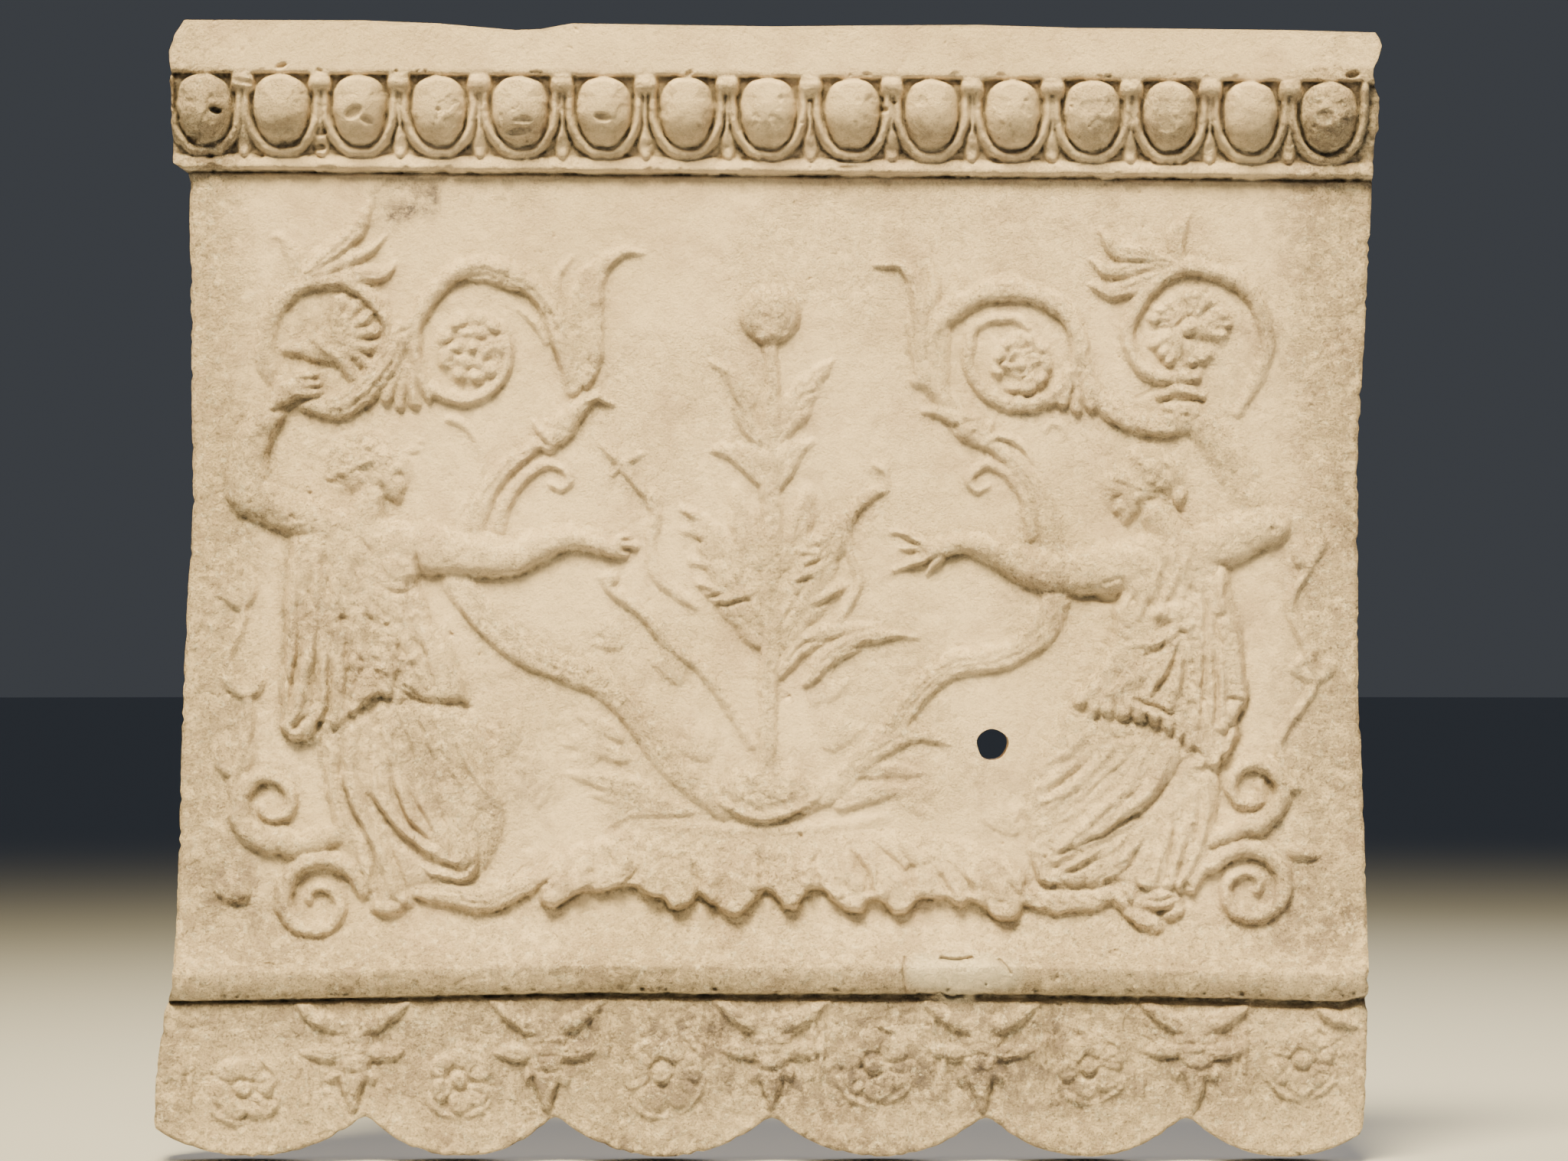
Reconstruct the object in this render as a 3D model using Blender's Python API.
"""Moulded clay frieze plaque with two bending figures among scrolls.

One slab of fired clay, cast in relief. The face is worked out as a field of
heights over a drawing of the design, the drawing is stretched to the named
sizes below, and the sheet is closed to a flat back. Metres, +Z up, the front
looks towards -Y and the origin lies on the flat back, on the slab's middle line.
"""
import math

import bmesh
import bpy
import numpy as np

MM = 0.001

# Driving sizes, millimetres.
PLAQUE_WIDTH = 472.0
CROWN_HEIGHT = 57.8
FIELD_HEIGHT = 289.2
LEDGE_HEIGHT = 34.0
FRIEZE_HEIGHT = 63.7
FIELD_THICKNESS = 24.0
CROWN_PROJECTION = 18.0
OVOLO_PROJECTION = 14.5
FILLET_PROJECTION = 7.5
LEDGE_PROJECTION = 12.0
FRIEZE_PROJECTION = 1.0
RELIEF_DEPTH = 10.5
EGG_COUNT = 15
LOBE_DEPTH = 17.0
NAIL_HOLE_DIAMETER = 12.4
NAIL_HOLE_RIGHT = 86.5
NAIL_HOLE_DOWN = 60.0

# The drawing's own frame: x to the right and z up, in units of one millimetre
# at the slab's first size. Heights of its zones from the lobes to the top.
# Its sides, its levels, and the relief's rise from the ground to the highest arm.
DRAWN_SIDES = [-236.0, 236.0]
DRAWN_LEVELS = [-221.7, -158.0, -124.0, 165.2, 223.0]
DRAWN_RISE = [0.0, 10.5]
CROWN_LEAN = 0.0078
SIDE_STRIP = 30.0
LOBE_STRIP = 36.7
TOP_STRIP = 17.0
RIM_ROUNDING = 1.2
DRAW_STEP = 1.0
GRID_STEP = 2.0
FRONT_TRIANGLES = 9300

NAME = "relief_plaque"
TERRACOTTA = (0.716, 0.604, 0.430)


# Tools for drawing in relief.

class Clay:
    """A raster of heights over the drawing."""

    def __init__(self, step):
        self.step = step
        half_wide, half_high = DRAWN_SIDES[1] + 14.0, DRAWN_LEVELS[4] + 7.0
        self.x = np.arange(-half_wide, half_wide + step, step)
        self.z = np.arange(-half_high, half_high + step, step)
        self.h = np.zeros((len(self.z), len(self.x)))

    def window(self, x0, x1, z0, z1):
        """Rows and columns that cover a box of the drawing."""
        i0 = max(int((x0 - self.x[0]) / self.step), 0)
        i1 = min(int((x1 - self.x[0]) / self.step) + 2, len(self.x))
        k0 = max(int((z0 - self.z[0]) / self.step), 0)
        k1 = min(int((z1 - self.z[0]) / self.step) + 2, len(self.z))
        return slice(k0, k1), slice(i0, i1)


def curve(points, gap=1.5, closed=False):
    """Close points along a smooth line through the given ones."""
    p = np.array(points, float)
    if len(p) == 2:
        p = np.array([p[0], (p[0] + p[1]) / 2, p[1]])
    if closed:
        p = np.vstack([p[-1], p, p[0], p[1]])
    else:
        p = np.vstack([2 * p[0] - p[1], p, 2 * p[-1] - p[-2]])
    out = []
    for a, b, c, d in zip(p[:-3], p[1:-2], p[2:-1], p[3:]):
        n = max(int(np.hypot(*(c - b)) / gap), 2)
        t = np.linspace(0, 1, n, endpoint=False)[:, None]
        bend = (2 * a - 5 * b + 4 * c - d) * t ** 2
        out.append(0.5 * (2 * b + (c - a) * t + bend + (3 * b - a - 3 * c + d) * t ** 3))
    line = np.vstack(out)
    return line if closed else np.vstack([line, p[-2]])


def arc(x, z, r, a0, a1, r1=None):
    """Points of an arc, or of a spiral where the radius runs on to r1."""
    r1 = r if r1 is None else r1
    n = max(int(abs(a1 - a0) / 20), 3)
    a = np.radians(np.linspace(a0, a1, n + 1))
    rr = np.linspace(r, r1, n + 1)
    return list(zip(x + rr * np.cos(a), z + rr * np.sin(a)))


def spread(values, line):
    """A few values spread evenly along a line's length."""
    values = np.atleast_1d(np.array(values, float))
    if len(values) == 1:
        return np.full(len(line), values[0])
    run = np.concatenate([[0], np.cumsum(np.hypot(*np.diff(line, axis=0).T))])
    return np.interp(run / max(run[-1], 1e-6), np.linspace(0, 1, len(values)), values)


def put(clay, rows, cols, layer, how):
    """Lay a layer on the clay: the higher of both, or added, or cut away."""
    part = clay.h[rows, cols]
    if how == "max":
        np.maximum(part, layer, out=part)
    elif how == "add":
        part += layer
    else:
        part -= layer


def ridge(clay, points, width, height, how="max", shape=0.7):
    """A raised band along a line; width is half its breadth."""
    line = curve(points)
    w = spread(width, line)
    h = spread(height, line)
    reach = w.max() + clay.step
    low, high = line.min(axis=0) - reach, line.max(axis=0) + reach
    rows, cols = clay.window(low[0], high[0], low[1], high[1])
    x = clay.x[cols][None, :]
    z = clay.z[rows][:, None]
    layer = np.zeros((z.size, x.size))
    for i in range(len(line) - 1):
        run = line[i + 1] - line[i]
        dx = x - line[i][0]
        dz = z - line[i][1]
        t = np.clip((dx * run[0] + dz * run[1]) / max(run @ run, 1e-9), 0, 1)
        far = (dx - t * run[0]) ** 2 + (dz - t * run[1]) ** 2
        wide = np.maximum(w[i] + t * (w[i + 1] - w[i]), 0.15)
        tall = h[i] + t * (h[i + 1] - h[i])
        np.maximum(layer, tall * np.clip(1 - far / wide ** 2, 0, 1) ** shape, out=layer)
    put(clay, rows, cols, layer, how)


def groove(clay, points, width, depth):
    """A line cut into what is there."""
    ridge(clay, points, width, depth, how="cut", shape=1.0)


def dome(clay, x, z, rx, rz, height, turn=0.0, how="max", shape=0.6):
    """A rounded lump over an ellipse."""
    reach = max(rx, rz) + 1
    rows, cols = clay.window(x - reach, x + reach, z - reach, z + reach)
    dx = clay.x[cols][None, :] - x
    dz = clay.z[rows][:, None] - z
    c, s = math.cos(math.radians(turn)), math.sin(math.radians(turn))
    u = ((dx * c + dz * s) / rx) ** 2 + ((dz * c - dx * s) / rz) ** 2
    put(clay, rows, cols, height * np.clip(1 - u, 0, 1) ** shape, how)


def mass(clay, outline, height, edge, shape=0.5):
    """A raised area with rounded borders inside a smooth closed outline."""
    line = curve(outline, gap=3.0, closed=True)
    low, high = line.min(axis=0) - 1, line.max(axis=0) + 1
    rows, cols = clay.window(low[0], high[0], low[1], high[1])
    x = clay.x[cols][None, :]
    z = clay.z[rows][:, None]
    inside = np.zeros((z.size, x.size), bool)
    near = np.full((z.size, x.size), 1e9)
    for a, b in zip(line, np.roll(line, -1, axis=0)):
        run = b - a
        t = np.clip(((x - a[0]) * run[0] + (z - a[1]) * run[1]) / max(run @ run, 1e-9), 0, 1)
        near = np.minimum(near, (x - a[0] - t * run[0]) ** 2 + (z - a[1] - t * run[1]) ** 2)
        if a[1] != b[1]:
            across = (z > min(a[1], b[1])) & (z <= max(a[1], b[1]))
            inside ^= across & (x < a[0] + (z - a[1]) * run[0] / run[1])
    u = 1 - np.clip(np.sqrt(near) / edge, 0, 1)
    put(clay, rows, cols, np.where(inside, height * (1 - u ** 2) ** shape, 0), "max")


def leaf(clay, points, width, height, lobes=0):
    """A leaf along a line, widest a third of the way up."""
    s = np.linspace(0, 1, 24)
    w = width * np.sin(np.pi * s ** 0.75).clip(0) ** 0.8 + 0.3
    if lobes:
        w *= 0.75 + 0.35 * np.abs(np.sin(np.pi * lobes * s))
    ridge(clay, points, w, [height, height, height * 0.6], shape=0.6)


def pleats(clay, left, right, count, height):
    """Folds of cloth, evenly laid between two guide lines."""
    def even(points):
        line = curve(points)
        run = np.concatenate([[0], np.cumsum(np.hypot(*np.diff(line, axis=0).T))])
        s = np.linspace(0, run[-1], 12)
        return np.column_stack([np.interp(s, run, line[:, 0]), np.interp(s, run, line[:, 1])])
    a, b = even(left), even(right)
    for i in range(count):
        t = (i + 0.5) / count
        wide = np.hypot(*(b - a).T) / count * 0.46
        ridge(clay, a * (1 - t) + b * t, wide, [height * 0.5, height, height], how="add", shape=0.8)


def smooth(field, sigma):
    """A soft filter along both directions, sigma in raster cells."""
    reach = max(int(3 * sigma), 1)
    k = np.exp(-0.5 * (np.arange(-reach, reach + 1) / sigma) ** 2)
    k /= k.sum()
    pad = np.pad(field, ((0, 0), (reach, reach)), mode="edge")
    out = sum(kk * pad[:, j:j + field.shape[1]] for j, kk in enumerate(k))
    pad = np.pad(out, ((reach, reach), (0, 0)), mode="edge")
    return sum(kk * pad[j:j + field.shape[0]] for j, kk in enumerate(k))


# The design, part by part.

def scrollwork(clay):
    """Ringed tendrils above the figures, with their leaves, buds and curls."""
    # A hand holds the first ring on each side; a longer volute follows it.
    ridge(clay, arc(-175, 101, 23.5, 240, -30), [4.0, 3.6, 3.0, 2.2], [3.4, 3.8, 4.4, 3.4])
    ridge(clay, [(-181, 72), (-167, 73.5), (-154, 83), (-146, 97), (-136, 110)], 4.4, 5.0)
    volute = [(-80, 84), (-82, 104), (-94, 120), (-111, 126.5), (-128, 122), (-139, 108)]
    ridge(clay, volute + arc(-120.5, 93.5, 20.5, 170, 420), [4.6, 4.2, 3.0, 2.4], [4.6, 5.2, 4.4, 3.0])
    ridge(clay, arc(166, 104, 23.5, -65, 262), [3.0, 3.4, 3.4, 2.6], [2.4, 4.0, 4.2, 3.4])
    ridge(clay, [(122, 92), (127, 77), (140, 66), (155, 63)], 3.8, 4.4)
    volute = [(58, 88), (64, 102), (75, 112.5)]
    ridge(clay, volute + arc(97.5, 94, 21, 120, -230), [3.8, 4.2, 3.2, 2.4], [3.4, 4.6, 4.2, 3.0])
    ridge(clay, [(57, 96), (63, 82), (76, 66)], 3.8, 3.2)
    # Rosettes and a flower inside the rings.
    for x, z, r, petals in ((-170, 99, 15, 6), (-117, 95, 11, 7), (163, 103, 15, 5), (98, 89, 11, 6)):
        for i in range(petals):
            a = 2 * math.pi * i / petals + 0.4
            px, pz = x + 0.58 * r * math.cos(a), z + 0.58 * r * math.sin(a)
            dome(clay, px, pz, 0.38 * r, 0.32 * r, 4.0, math.degrees(a))
        dome(clay, x, z, 0.36 * r, 0.36 * r, 4.4)
    # Leaves over the outer rings, fans in the forks between two rings.
    for side, x, z, tips in ((-1, -184, 123, (22, 55, 82)), (1, 161, 127, (118, 150, 178))):
        for a in tips:
            a = math.radians(a)
            end = (x + 36 * math.cos(a) + side * 2, z + 26 * math.sin(a))
            leaf(clay, [(x, z), (x + 20 * math.cos(a), z + 12 * math.sin(a) + 3), end], 4.4, 3.6)
    for x, z, drop in ((-142, 93, 18), (121.5, 89, 17)):
        for dx in (-8, -2.5, 3, 8.5):
            ridge(clay, [(x, z), (x + dx * 0.5, z - drop * 0.5), (x + dx, z - drop)], [0.9, 1.6, 2.2], 3.2)
    for side, x, z in ((1, -75, 79), (-1, 66, 75)):
        for reach, top in ((-7, 50), (1, 53), (22, 52)):
            mid = x + side * reach * 0.15
            tip = (x + side * reach, z + top)
            leaf(clay, [(x, z), (mid, z + 26), (mid + side, z + 42), tip], 4.4, 3.4)
    # Buds on their stems and curled tendrils.
    for side, x in ((-1, -1.0), (1, 0.0)):
        stem = [(x + side * 117, 22), (x + side * 109, 38), (x + side * 98, 51), (x + side * 86, 60)]
        ridge(clay, stem, [3.6, 3.4, 2.6], [2.4, 3.2, 3.4])
        bud = [(x + side * 85, 58), (x + side * 77, 67), (x + side * 68, 73.5), (x + side * 60, 71)]
        ridge(clay, bud, [3.4, 5.4, 3.4, 0.8], [3.4, 4.6, 3.6, 2.0])
        curl = [(x + side * 105, 24), (x + side * 101, 38), (x + side * 92, 47.5), (x + side * 84, 49)]
        ridge(clay, curl + arc(x + side * 83, 44, 4.6, 90, 90 + side * 200), [2.4, 1.8, 1.4], 2.5)


def central_plant(clay):
    """The upright thistle with paired leaves, and the shoots beside it."""
    ridge(clay, [(-1.5, 98), (-1, 60), (-0.5, 10), (-2, -74)], [2.6, 3.2, 4.0, 3.2], [2.8, 3.2, 3.6, 2.6])
    dome(clay, -0.5, 108, 11.6, 10.6, 6.0)
    for side in (-1, 1):
        leaf(clay, [(side * 3, 57), (side * 10, 70), (side * 14, 80), (side * 24, 90)], 4.8, 3.0)
        leaf(clay, [(side * 3, 42), (side * 9, 50), (side * 15, 55), (side * 23, 56)], 3.8, 3.0)
        leaf(clay, [(side * 3, -14), (side * 12, 2), (side * 20, 18), (side * 31, 32)], 7.4, 3.4, lobes=5)
        leaf(clay, [(side * 3, 8), (side * 9, 22), (side * 14, 40)], 5.0, 2.6, lobes=4)
    ridge(clay, [(-30, -6), (-44, 6), (-47.6, 19), (-46, 31), (-57, 47)], 2.3, 2.2)
    ridge(clay, [(-66, 5), (-58, -3), (-47, -13), (-32, -27), (-15, -47), (-8, -60)], 2.3, 2.6)
    ridge(clay, [(26, -12), (33.5, 1), (30, 16), (31, 30), (46, 40)], [1.6, 1.8, 2.2], 2.4)
    leaf(clay, [(3, -33), (10, -21), (22, -15.4), (39, -13)], 3.6, 2.8)
    leaf(clay, [(12, -36), (24, -23.5), (38, -17.4), (58, -18)], 3.4, 3.2)


def stems_and_leaves(clay):
    """The two great stems, their cushion, and the low acanthus under it."""
    left = [(-121, 4), (-113, -9), (-96, -25), (-70, -35), (-54, -47), (-36, -71), (-19, -84)]
    right = [(113, 3), (107, -14), (90, -27), (68, -32), (50, -51), (30, -73), (13, -83)]
    for path in (left, right):
        ridge(clay, path, [5.6, 5.0, 4.2, 4.6, 4.2], [2.6, 4.4, 4.4, 3.4])
    dome(clay, -2, -79, 18, 8.5, 4.6)
    leaf(clay, [(-44, -79), (-60, -75), (-80, -71)], 3.2, 2.6)
    leaf(clay, [(30, -66), (44, -58), (57, -54), (70, -58)], 3.6, 2.4)
    leaf(clay, [(24, -84), (38, -79), (54, -76)], 3.6, 2.4)
    spray = [(-92, -112), (-55, -98), (0, -93), (60, -99), (98, -116), (60, -118), (0, -116), (-55, -114)]
    mass(clay, spray, 4.2, 12)
    count = 15
    for i in range(count):
        t = i / (count - 1)
        x = -84 + 174 * t
        tip = -121.5 - 2.6 * math.sin(i * 2.1)
        lean = (t - 0.5) * 12
        wide = 4.8 + 0.8 * math.sin(i * 1.3)
        ridge(clay, [(x - lean, -103), (x, tip + wide)], [wide * 0.5, wide], [3.6, 6.0], shape=0.5)
    left_end = [(-140, -119), (-122, -120), (-104, -119), (-84, -108)]
    ridge(clay, left_end, [2.4, 4.6, 4.6, 3.0], 4.4, shape=0.55)
    ridge(clay, [(96, -119), (112, -122), (134, -119)], [3.4, 4.6, 3.0], 4.2, shape=0.55)


def side_growth(clay):
    """Spirals in the lower corners and the thin plants along both borders."""
    spirals = (
        (-196.5, -82, 15, 5.0, -70, -500, 5.2),
        (-177.5, -122, 16.5, 4.0, 20, 420, 4.6),
        (188.5, -77.5, 14.5, 4.0, -120, 320, 4.6),
        (187, -116.5, 17.5, 4.6, 170, -330, 4.6),
    )
    for x, z, r0, r1, a0, a1, tall in spirals:
        ridge(clay, arc(x, z, r0, a0, a1, r1), [4.2, 3.8, 3.0, 1.8], tall, shape=0.6)
    ridge(clay, [(-170, -95), (-181, -97), (-192, -98)], 4.4, 5.0)
    ridge(clay, [(172, -98), (181, -92.6), (187, -91)], 3.8, 4.4)
    dome(clay, -210.6, -117, 6.4, 5.2, 3.6)
    left = [(-206.6, -4), (-208, -15), (-213, -25), (-206, -42), (-206.6, -61), (-211, -79)]
    right = [(213, 16), (204, -3), (211, -28), (211, -40), (200, -56), (204, -76)]
    for path, sign in ((left, 1), (right, -1)):
        ridge(clay, path, [1.6, 1.8, 2.2], [1.8, 2.0, 2.8])
        for x, z in (path[0], path[3]):
            for lean in (-5.5, 6.0):
                leaf(clay, [(x, z), (x + lean, z + 5), (x + lean * 1.3, z + 12)], 2.4, 2.0)
        leaf(clay, [path[5], (path[5][0] - 5 * sign, -68), (path[5][0] - 7 * sign, -61)], 2.4, 2.2)


def limb(clay, points, width, height):
    """An arm or a leg: a full round band."""
    ridge(clay, points, width, height, shape=0.5)


def figure_left(clay):
    """The figure on the left: the head turned to the right, one arm up, one out."""
    skirt = [(-178, -50), (-150, -42), (-122, -45), (-111, -66), (-105, -86), (-112, -109), (-135, -117.4)]
    mass(clay, skirt + [(-150, -126), (-163, -112), (-174, -80)], 6.2, 7)
    pleats(clay, [(-174, -56), (-170, -88), (-156, -121)], [(-150, -48), (-146, -84), (-141, -119)], 5, 1.8)
    for x in (-148, -139, -130, -121):
        fold = [(x, -50), (x + 5, -72), (x * 0.4 - 77, -98), (x * 0.3 - 80, -109)]
        ridge(clay, fold, [1.4, 2.6, 2.0], [0.8, 2.2, 1.2], how="add")
    groove(clay, [(-149, -72), (-143.5, -88), (-132, -101.5), (-119, -107)], [1.4, 2.2, 1.2], 2.4)
    tunic = [(-184, 22), (-160, 24), (-139, 12), (-133, -12), (-118, -43), (-140, -42.4), (-157, -43)]
    mass(clay, tunic + [(-170, -54), (-183, -58), (-192.6, -52), (-191, -15)], 7.6, 3.6)
    pleats(clay, [(-188.6, 12), (-189.6, -20), (-190, -53)], [(-163, 12), (-166, -18), (-167, -49)], 4, 2.0)
    pleats(clay, [(-162, 6), (-164, -20), (-163, -44)], [(-140, 4), (-131, -20), (-120, -43)], 4, 1.4)
    groove(clay, [(-174.6, 8), (-175, -18), (-176, -44)], 1.6, 2.4)
    dome(clay, -163, 18, 24, 13, 9.0, turn=-8)
    dome(clay, -146, 11, 9.4, 9.4, 10.5)
    limb(clay, [(-157, 36), (-160, 27), (-163, 20)], [6.0, 6.6, 8.0], 8.4)
    limb(clay, [(-172, 22), (-190, 31), (-206, 38)], [9.0, 8.4, 8.4], 8.4)
    limb(clay, [(-205.5, 38), (-205, 50), (-200.5, 62), (-193, 74)], [8.6, 7.6, 4.8], [8.0, 7.4, 6.6])
    limb(clay, [(-194, 73), (-188, 79), (-179, 80)], [4.6, 5.6, 4.0], 7.0)
    reach = [(-146, 18), (-131, 15.6), (-101, 13.4), (-88, 18), (-72, 19), (-56, 16.5)]
    limb(clay, reach, [10.4, 9.6, 8.4, 6.6, 4.8, 2.4], [9.6, 9.0, 8.6, 7.4, 5.0])
    profile_head(clay, -154, 44, -12, 1)


def figure_right(clay):
    """The figure on the right: the head bowed, one arm out, one bent up behind."""
    skirt = [(119, -42), (140, -48), (162, -58), (160, -78), (140, -97), (108, -113.5),
             (100, -98), (104, -66)]
    mass(clay, skirt, 6.6, 9)
    behind = [(150, -76), (166, -65), (175, -70), (172, -106), (152, -118), (116, -116),
              (106, -110), (136, -92)]
    mass(clay, behind, 4.6, 5)
    limb(clay, [(150, -64), (139, -80), (122, -94), (109, -104)], [9.0, 10, 9.6, 7.5], 8.2)
    pleats(clay, [(132, -52), (116, -66), (102, -84)], [(156, -62), (142, -82), (122, -98)], 5, 1.8)
    pleats(clay, [(156, -78), (155, -98), (153, -116)], [(173, -72), (171, -94), (166, -114)], 3, 2.0)
    pleats(clay, [(150, -88), (130, -98), (108, -106)], [(152, -108), (134, -110), (112, -114)], 3, 1.8)
    tunic = [(136, -2), (150, 10), (176, 12), (182, -12), (187, -41), (183, -57), (172, -70), (160, -58)]
    mass(clay, tunic + [(140, -50.6), (118, -43.6), (133, -18)], 8.2, 3.6)
    pleats(clay, [(158, -12), (146, -26), (126, -42)], [(166, -14), (164, -36), (160, -56)], 5, 2.2)
    pleats(clay, [(166, 8), (167, -20), (166, -58)], [(179, 4), (183, -20), (185, -42)], 4, 2.2)
    feet = ((146, -114, 8, -20), (150, -121, 11, 4), (144, -127, 9, -25), (163, -113, 6, 25))
    for x, z, rx, turn in feet:
        dome(clay, x, z, rx, 4.6, 6.4, turn)
    dome(clay, 156, 10, 22, 14, 9.0, turn=14)
    limb(clay, [(150, 28), (156, 22), (160, 14)], [6.0, 7.0, 9.0], 8.6)
    reach = [(150, 9), (130, 8.4), (106, 8.4), (90, 14.4), (74, 18.6), (52, 18)]
    limb(clay, reach, [10.4, 10.0, 8.6, 7.4, 5.0, 2.2], [9.4, 9.0, 8.8, 7.6, 4.6])
    limb(clay, [(170, 14), (184, 20), (194, 24)], [8.0, 8.4, 8.0], [8.0, 7.4, 6.8])
    limb(clay, [(193, 24), (188, 38), (179, 52), (168, 66)], [7.6, 7.2, 5.4], [6.4, 5.6, 5.6])
    dome(clay, 161, 69, 9.4, 7.4, 6.8, turn=12)
    profile_head(clay, 145, 38, 24, -1)


def profile_head(clay, x, z, turn, looks):
    """A plain head in profile: skull, hair roll, face and chin; looks 1 is to the right."""
    c, s = math.cos(math.radians(turn)), math.sin(math.radians(turn))

    def at(u, v):
        return x + looks * u * c + v * s * looks * -1, z + u * s * (1 if looks > 0 else -1) + v * c

    def lump(u, v, ru, rv, height):
        px, pz = at(u, v)
        dome(clay, px, pz, ru, rv, height, turn if looks > 0 else turn, shape=0.5)

    lump(-4, 2.6, 12.4, 11.2, 9.6)
    lump(4.6, 0, 5.6, 9.6, 8.8)
    lump(5.0, -6.6, 4.4, 4.2, 8.4)
    lump(9.6, 0.4, 1.9, 2.2, 7.8)
    lump(8.8, -4.4, 1.8, 1.8, 7.8)
    lump(-14, -2, 5.0, 5.0, 8.4)
    for i in range(8):
        px, pz = at(7 - 3.0 * i, 8.6 - 0.09 * i * i * 3)
        dome(clay, px, pz, 2.6, 2.4, 2.4, how="add")


def lower_frieze(clay):
    """Rosettes over the lobes, bull heads between them, hanging ribbons."""
    rosettes = ((-207, -195, 13.5), (-122, -191.6, 13.6), (-43, -189, 16), (40, -185.4, 15),
                (124.5, -186.3, 13.4), (207.5, -184, 14))
    for x, z, r in rosettes:
        for i in range(6):
            a = math.radians(15 + i * 60)
            px, pz = x + 0.62 * r * math.cos(a), z + 0.62 * r * math.sin(a)
            dome(clay, px, pz, r * 0.40, r * 0.33, 3.2, math.degrees(a) + 90)
        dome(clay, x, z, r * 0.28, r * 0.28, 3.8)
        ridge(clay, arc(x, z, r, 195, 345), [0.9, 1.6, 0.9], [1.0, 2.0, 1.0])
    for x, z in ((-164, -177.5), (-88, -177.5), (0, -176.6), (82, -177.5), (166, -176.6)):
        ridge(clay, [(x, z + 3), (x, z - 8), (x, z - 24)], [7.0, 6.0, 2.4], [3.8, 4.6, 2.6], shape=0.6)
        for side in (-1, 1):
            horn = [(x + side * 5, z + 6), (x + side * 13, z + 9.6), (x + side * 20, z + 15.5)]
            ridge(clay, horn, [2.8, 2.6, 1.2], [3.8, 3.8, 2.0])
            ear = [(x + side * 7, z - 1), (x + side * 13, z - 0.6), (x + side * 19, z - 2.6)]
            leaf(clay, ear, 2.8, 3.4)
            dome(clay, x + side * 6.8, z - 8, 2.8, 2.4, 4.0)
    ribbons = ((-229, -184, -203), (-183.6, -184, -207), (-66, -165, -180), (-23, -165, -184),
               (17.5, -163, -191), (65.5, -163, -198), (108, -163, -201), (183, -170, -188))
    for x, z0, z1 in ribbons:
        ridge(clay, [(x, z0), (x, z1)], 1.9, 1.5)


# The slab's own profile.

def crown_level(clay):
    """Height within the crown, whose lines rise a little towards the right."""
    return clay.z[:, None] + CROWN_LEAN * (clay.x[None, :] - DRAWN_SIDES[0] - 6)


def bare_profile(clay):
    """Depth from the flat back of the mouldings without any relief."""
    zc = crown_level(clay)
    flare = np.clip((171.5 - zc) / 6.0, 0, 1)
    depth = np.full(zc.shape, FIELD_THICKNESS)
    fillet = FIELD_THICKNESS + FILLET_PROJECTION * (0.5 + 0.5 * flare)
    depth = np.where((zc > 165.2) & (zc <= 171.5), fillet, depth)
    depth = np.where(zc > 202.4, FIELD_THICKNESS + CROWN_PROJECTION, depth)
    drop = clay.z[:, None] + 158.0 + 0 * clay.x[None, :]
    cove = np.clip((34.5 - drop) / 22, 0, 1)
    cove = FIELD_THICKNESS + LEDGE_PROJECTION * cove ** 2 * (3 - 2 * cove)
    depth = np.where((drop < 34.5) & (drop >= 12), cove, depth)
    depth = np.where((drop < 12) & (drop >= 0), FIELD_THICKNESS + LEDGE_PROJECTION, depth)
    return np.where(drop < 0, FIELD_THICKNESS + FRIEZE_PROJECTION, depth)


def egg_course(clay):
    """The ovolo carved with eggs in shells and a dart between each two."""
    zc = crown_level(clay)
    rise = np.clip((zc - 171.0) / 31.4, 0, 1)
    ovolo = FIELD_THICKNESS + 4 + OVOLO_PROJECTION * np.sqrt(1 - (1 - rise) ** 2)
    on = (zc > 171.0) & (zc < 202.4)
    depth = np.where(on, np.maximum(ovolo - 6.0, FIELD_THICKNESS + 3), 0)
    pitch = 439.0 / (EGG_COUNT - 1)
    half = 0.34 * pitch
    for i in range(EGG_COUNT):
        dx = clay.x[None, :] + 221.5 - i * pitch
        low = zc - 201.5
        u = (dx / half) ** 2 + (low / 26.0) ** 2
        egg = ovolo - 4.8 + 5.0 * np.sqrt(np.clip(1 - u, 0, 1))
        depth = np.where(on & (u < 1), np.maximum(depth, egg), depth)
        rim = np.abs(np.sqrt((dx / (half + 3.6)) ** 2 + (low / 29.6) ** 2) - 1) * (half + 3.6)
        shell = ovolo - 3.0 - 6.0 * (rim / 2.2) ** 2
        depth = np.where(on & (rim < 2.2), np.maximum(depth, shell), depth)
        gap = np.abs(dx - pitch / 2)
        wide = np.interp(zc, [171.5, 174, 178, 183, 199, 202], [0.8, 3.0, 3.0, 1.3, 1.3, 2.0])
        dart = ovolo - 3.4 - 4.0 * np.clip(gap / wide, 0, 1) ** 2
        keep = on & (gap < wide) & (i < EGG_COUNT - 1)
        depth = np.where(keep, np.maximum(depth, dart), depth)
    return depth


def face_depth():
    """The whole face: its depth from the back over the drawing."""
    clay = Clay(DRAW_STEP)
    motifs = (scrollwork, stems_and_leaves, central_plant, side_growth,
              figure_left, figure_right, lower_frieze)
    for motif in motifs:
        motif(clay)
    relief = smooth(clay.h, 0.9 / clay.step) * RELIEF_DEPTH / DRAWN_RISE[1]
    depth = np.maximum(bare_profile(clay), egg_course(clay)) + relief
    depth = smooth(depth, 0.9 / clay.step)
    zc = crown_level(clay)
    depth -= 3.0 * np.exp(-((zc - 202.4) / 1.6) ** 2)
    depth -= 3.0 * np.exp(-((clay.z[:, None] + 159.0) / 1.6) ** 2)
    return clay, depth


# The outline in the drawing's frame.

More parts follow.
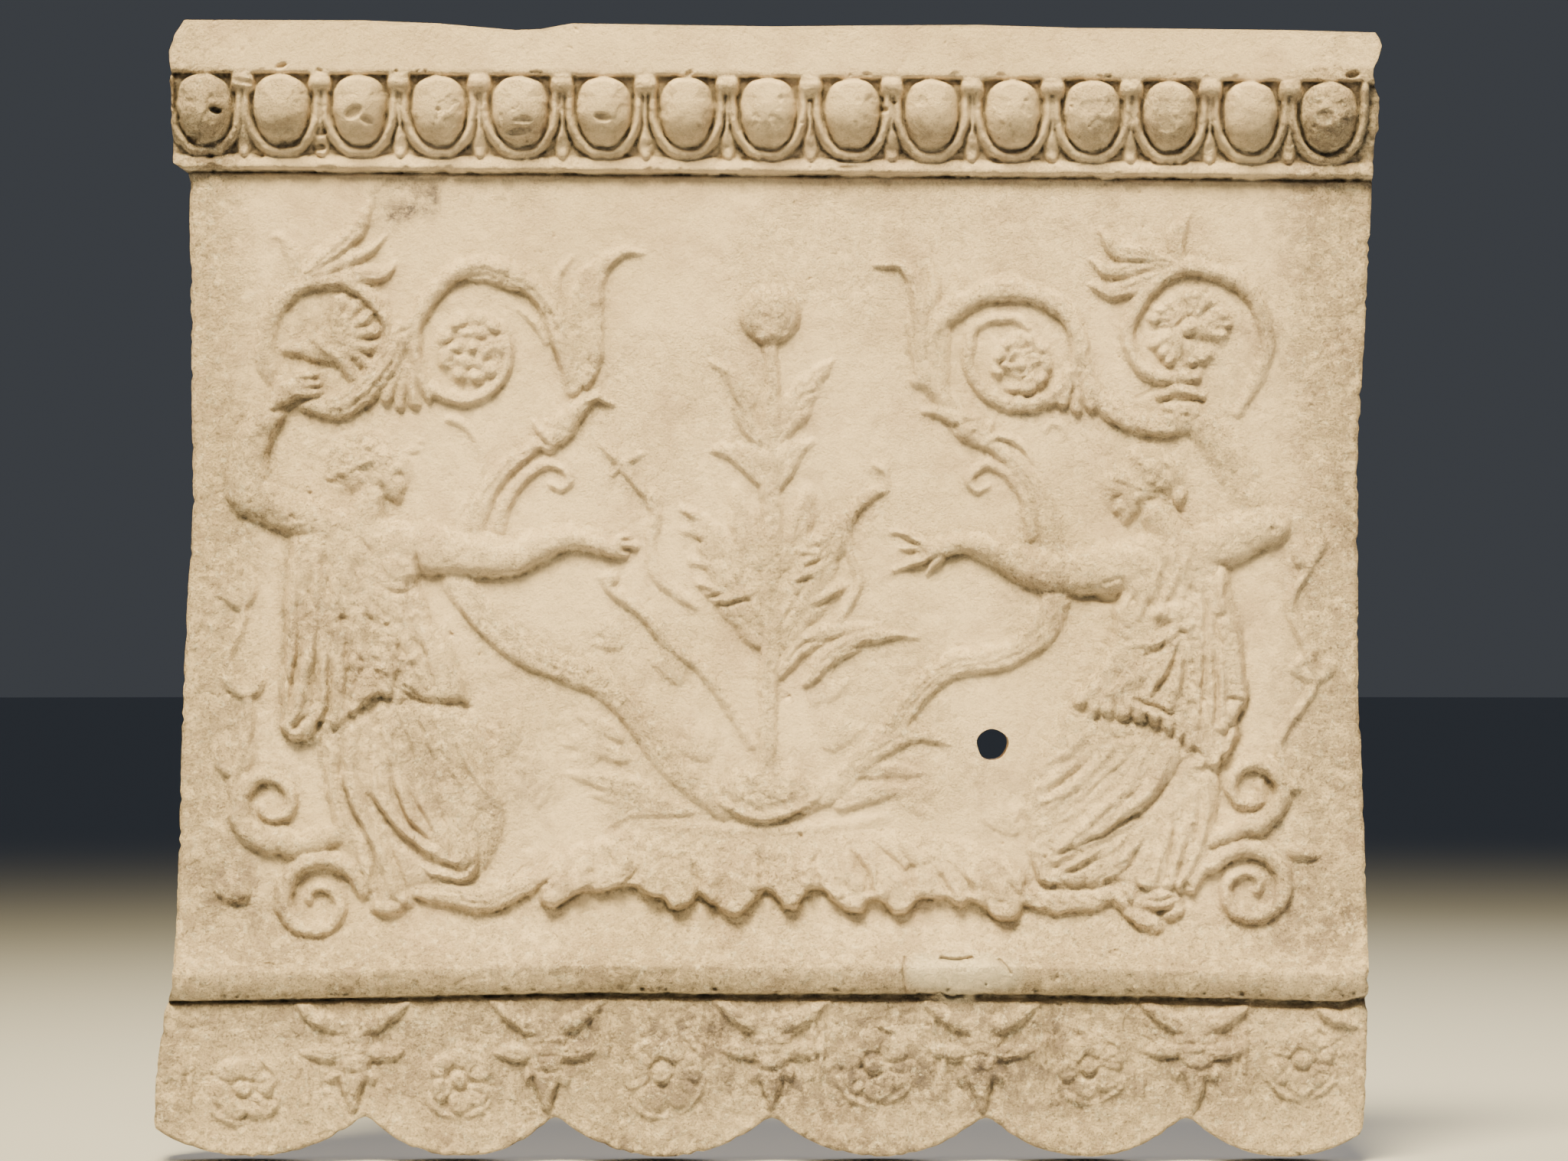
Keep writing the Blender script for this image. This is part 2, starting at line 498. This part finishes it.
def left_edge(z):
    return np.interp(z, [-222, -208, -190, -165, -100, -40, 20, 60, 163, 167, 211, 223],
                     [-240, -242.4, -241.5, -237, -232.5, -231, -227.4, -227.4, -228.4, -234.6, -235, -229])


def right_edge(z):
    return np.interp(z, [-222, -195, -130, -64, -40, 54, 116, 163, 167, 202, 205, 216, 219, 223],
                     [230, 233, 233.5, 231.3, 230, 230, 233.5, 235.5, 238, 237.6, 233, 232, 237.6, 238])


def top_edge(x):
    return np.interp(x, [-236, -229, -160, -112, -78, 40, 150, 238],
                     [219, 223, 222.8, 219.6, 221.6, 220.6, 219.6, 218])


def lower_edge(x):
    """Arcs of the hanging lobes, with a notch between each two."""
    ends = [-243.5, -160, -85, 0, 84, 162.5, 238]
    rise = LOBE_DEPTH
    z = np.full(np.shape(x), DRAWN_LEVELS[0])
    for a, b in zip(ends, ends[1:]):
        half = (b - a) / 2
        radius = (half ** 2 + rise ** 2) / (2 * rise)
        bow = radius - np.sqrt(np.maximum(radius ** 2 - (x - (a + b) / 2) ** 2, 0))
        z = np.where((x >= a) & (x <= b), DRAWN_LEVELS[0] + bow, z)
    return z


def to_real(x, z):
    """From the drawing to the slab: stretch each zone to its named size."""
    share = -DRAWN_LEVELS[2] / (DRAWN_LEVELS[3] - DRAWN_LEVELS[2])
    low = -share * FIELD_HEIGHT
    levels = [low - LEDGE_HEIGHT - FRIEZE_HEIGHT, low - LEDGE_HEIGHT, low, low + FIELD_HEIGHT,
              low + FIELD_HEIGHT + CROWN_HEIGHT]
    wide = PLAQUE_WIDTH / (DRAWN_SIDES[1] - DRAWN_SIDES[0])
    return x * wide, np.interp(z, DRAWN_LEVELS, levels)


# Building the solid.

def fresh_scene():
    for item in list(bpy.data.objects):
        bpy.data.objects.remove(item)
    for group in list(bpy.data.collections):
        bpy.data.collections.remove(group)


def make_material():
    material = bpy.data.materials.new("terracotta")
    material.use_nodes = True
    shader = material.node_tree.nodes["Principled BSDF"]
    shader.inputs["Base Color"].default_value = (*TERRACOTTA, 1.0)
    shader.inputs["Roughness"].default_value = 0.9
    shader.inputs["Metallic"].default_value = 0.0
    material.diffuse_color = (*TERRACOTTA, 1.0)
    return material


def front_sheet():
    """The face as an open sheet of quads, moved to the outline and to its depth."""
    clay, depth = face_depth()
    left, right = DRAWN_SIDES
    foot, top = DRAWN_LEVELS[0], DRAWN_LEVELS[4]
    columns, rows = int((right - left) / GRID_STEP), int((top - foot) / GRID_STEP)
    mesh = bpy.data.meshes.new("front_sheet")
    bm = bmesh.new()
    bmesh.ops.create_grid(bm, x_segments=columns, y_segments=rows, size=0.5)
    bm.to_mesh(mesh)
    bm.free()
    flat = np.empty(len(mesh.vertices) * 3)
    mesh.vertices.foreach_get("co", flat)
    flat = flat.reshape(-1, 3)
    flat_x, flat_z = flat[:, 0] * (right - left), foot + (flat[:, 1] + 0.5) * (top - foot)
    # Only a strip along each border moves out or in to the true edge.
    at_left = np.clip((left + SIDE_STRIP - flat_x) / SIDE_STRIP, 0, 1)
    at_right = np.clip((flat_x - right + SIDE_STRIP) / SIDE_STRIP, 0, 1)
    at_foot = np.clip((foot + LOBE_STRIP - flat_z) / LOBE_STRIP, 0, 1)
    at_top = np.clip((flat_z - top + TOP_STRIP) / TOP_STRIP, 0, 1)
    x, z = flat_x, flat_z
    for _ in range(3):
        x = flat_x + (left_edge(z) - left) * at_left + (right_edge(z) - right) * at_right
        z = flat_z + (lower_edge(x) - foot) * at_foot + (top_edge(x) - top) * at_top
    col = (x - clay.x[0]) / clay.step
    row = (z - clay.z[0]) / clay.step
    ic, ir = col.astype(int), row.astype(int)
    fc, fr = col - ic, row - ir
    deep = (depth[ir, ic] * (1 - fc) + depth[ir, ic + 1] * fc) * (1 - fr)
    deep += (depth[ir + 1, ic] * (1 - fc) + depth[ir + 1, ic + 1] * fc) * fr
    border = np.maximum(np.maximum(at_left, at_right), np.maximum(at_foot, at_top)) > 0.9999
    deep = deep - RIM_ROUNDING * border
    rx, rz = to_real(x, z)
    out = np.column_stack([rx, -deep, rz]) * MM
    mesh.vertices.foreach_set("co", out.ravel())
    mesh.update()
    return mesh


def thinned(mesh):
    """The sheet with fewer triangles where it is plain."""
    sheet = bpy.data.objects.new("front_sheet", mesh)
    bpy.context.scene.collection.objects.link(sheet)
    lighter = sheet.modifiers.new("lighter", "DECIMATE")
    lighter.ratio = FRONT_TRIANGLES / (2 * len(mesh.polygons))
    lighter.use_collapse_triangulate = True
    bpy.context.view_layer.update()
    ready = sheet.evaluated_get(bpy.context.evaluated_depsgraph_get())
    result = bpy.data.meshes.new_from_object(ready)
    bpy.data.objects.remove(sheet)
    return result


def close_to_back(mesh):
    """Side walls straight back to the plane of the back, and the back itself."""
    bm = bmesh.new()
    bm.from_mesh(mesh)
    bmesh.ops.triangulate(bm, faces=bm.faces)
    border = [edge for edge in bm.edges if edge.is_boundary]
    walls = bmesh.ops.extrude_edge_only(bm, edges=border)["geom"]
    for item in walls:
        if isinstance(item, bmesh.types.BMVert):
            item.co.y = 0.0
    rim = [edge for edge in bm.edges if edge.is_boundary]
    back = bmesh.ops.contextual_create(bm, geom=rim)["faces"]
    bmesh.ops.triangulate(bm, faces=bm.faces, ngon_method="EAR_CLIP")
    bmesh.ops.recalc_face_normals(bm, faces=bm.faces)
    print("back faces", len(back), "triangles", len(bm.faces))
    out = bpy.data.meshes.new(NAME)
    bm.to_mesh(out)
    bm.free()
    return out


def nail_hole_cutter(group):
    """A plain cylinder through the slab."""
    mesh = bpy.data.meshes.new("nail_hole_cutter")
    bm = bmesh.new()
    radius = NAIL_HOLE_DIAMETER / 2 * MM
    reach = (FIELD_THICKNESS + CROWN_PROJECTION + 40) * MM
    bmesh.ops.create_cone(bm, cap_ends=True, segments=28, radius1=radius, radius2=radius, depth=reach)
    bm.to_mesh(mesh)
    bm.free()
    cutter = bpy.data.objects.new("nail_hole_cutter", mesh)
    cutter.location = (NAIL_HOLE_RIGHT * MM, -FIELD_THICKNESS * MM / 2, -NAIL_HOLE_DOWN * MM)
    cutter.rotation_euler = (math.pi / 2, 0, 0)
    cutter.hide_render = True
    cutter.display_type = "WIRE"
    group.objects.link(cutter)
    return cutter


def build():
    fresh_scene()
    parts = bpy.data.collections.new("terracotta_relief_frieze")
    cutters = bpy.data.collections.new("cutters")
    bpy.context.scene.collection.children.link(parts)
    bpy.context.scene.collection.children.link(cutters)
    cutters.hide_render = True
    slab = bpy.data.objects.new(NAME, close_to_back(thinned(front_sheet())))
    parts.objects.link(slab)
    slab.data.materials.append(make_material())
    hole = slab.modifiers.new("nail hole", "BOOLEAN")
    hole.operation = "DIFFERENCE"
    hole.solver = "EXACT"
    hole.object = nail_hole_cutter(cutters)
    return slab


build()
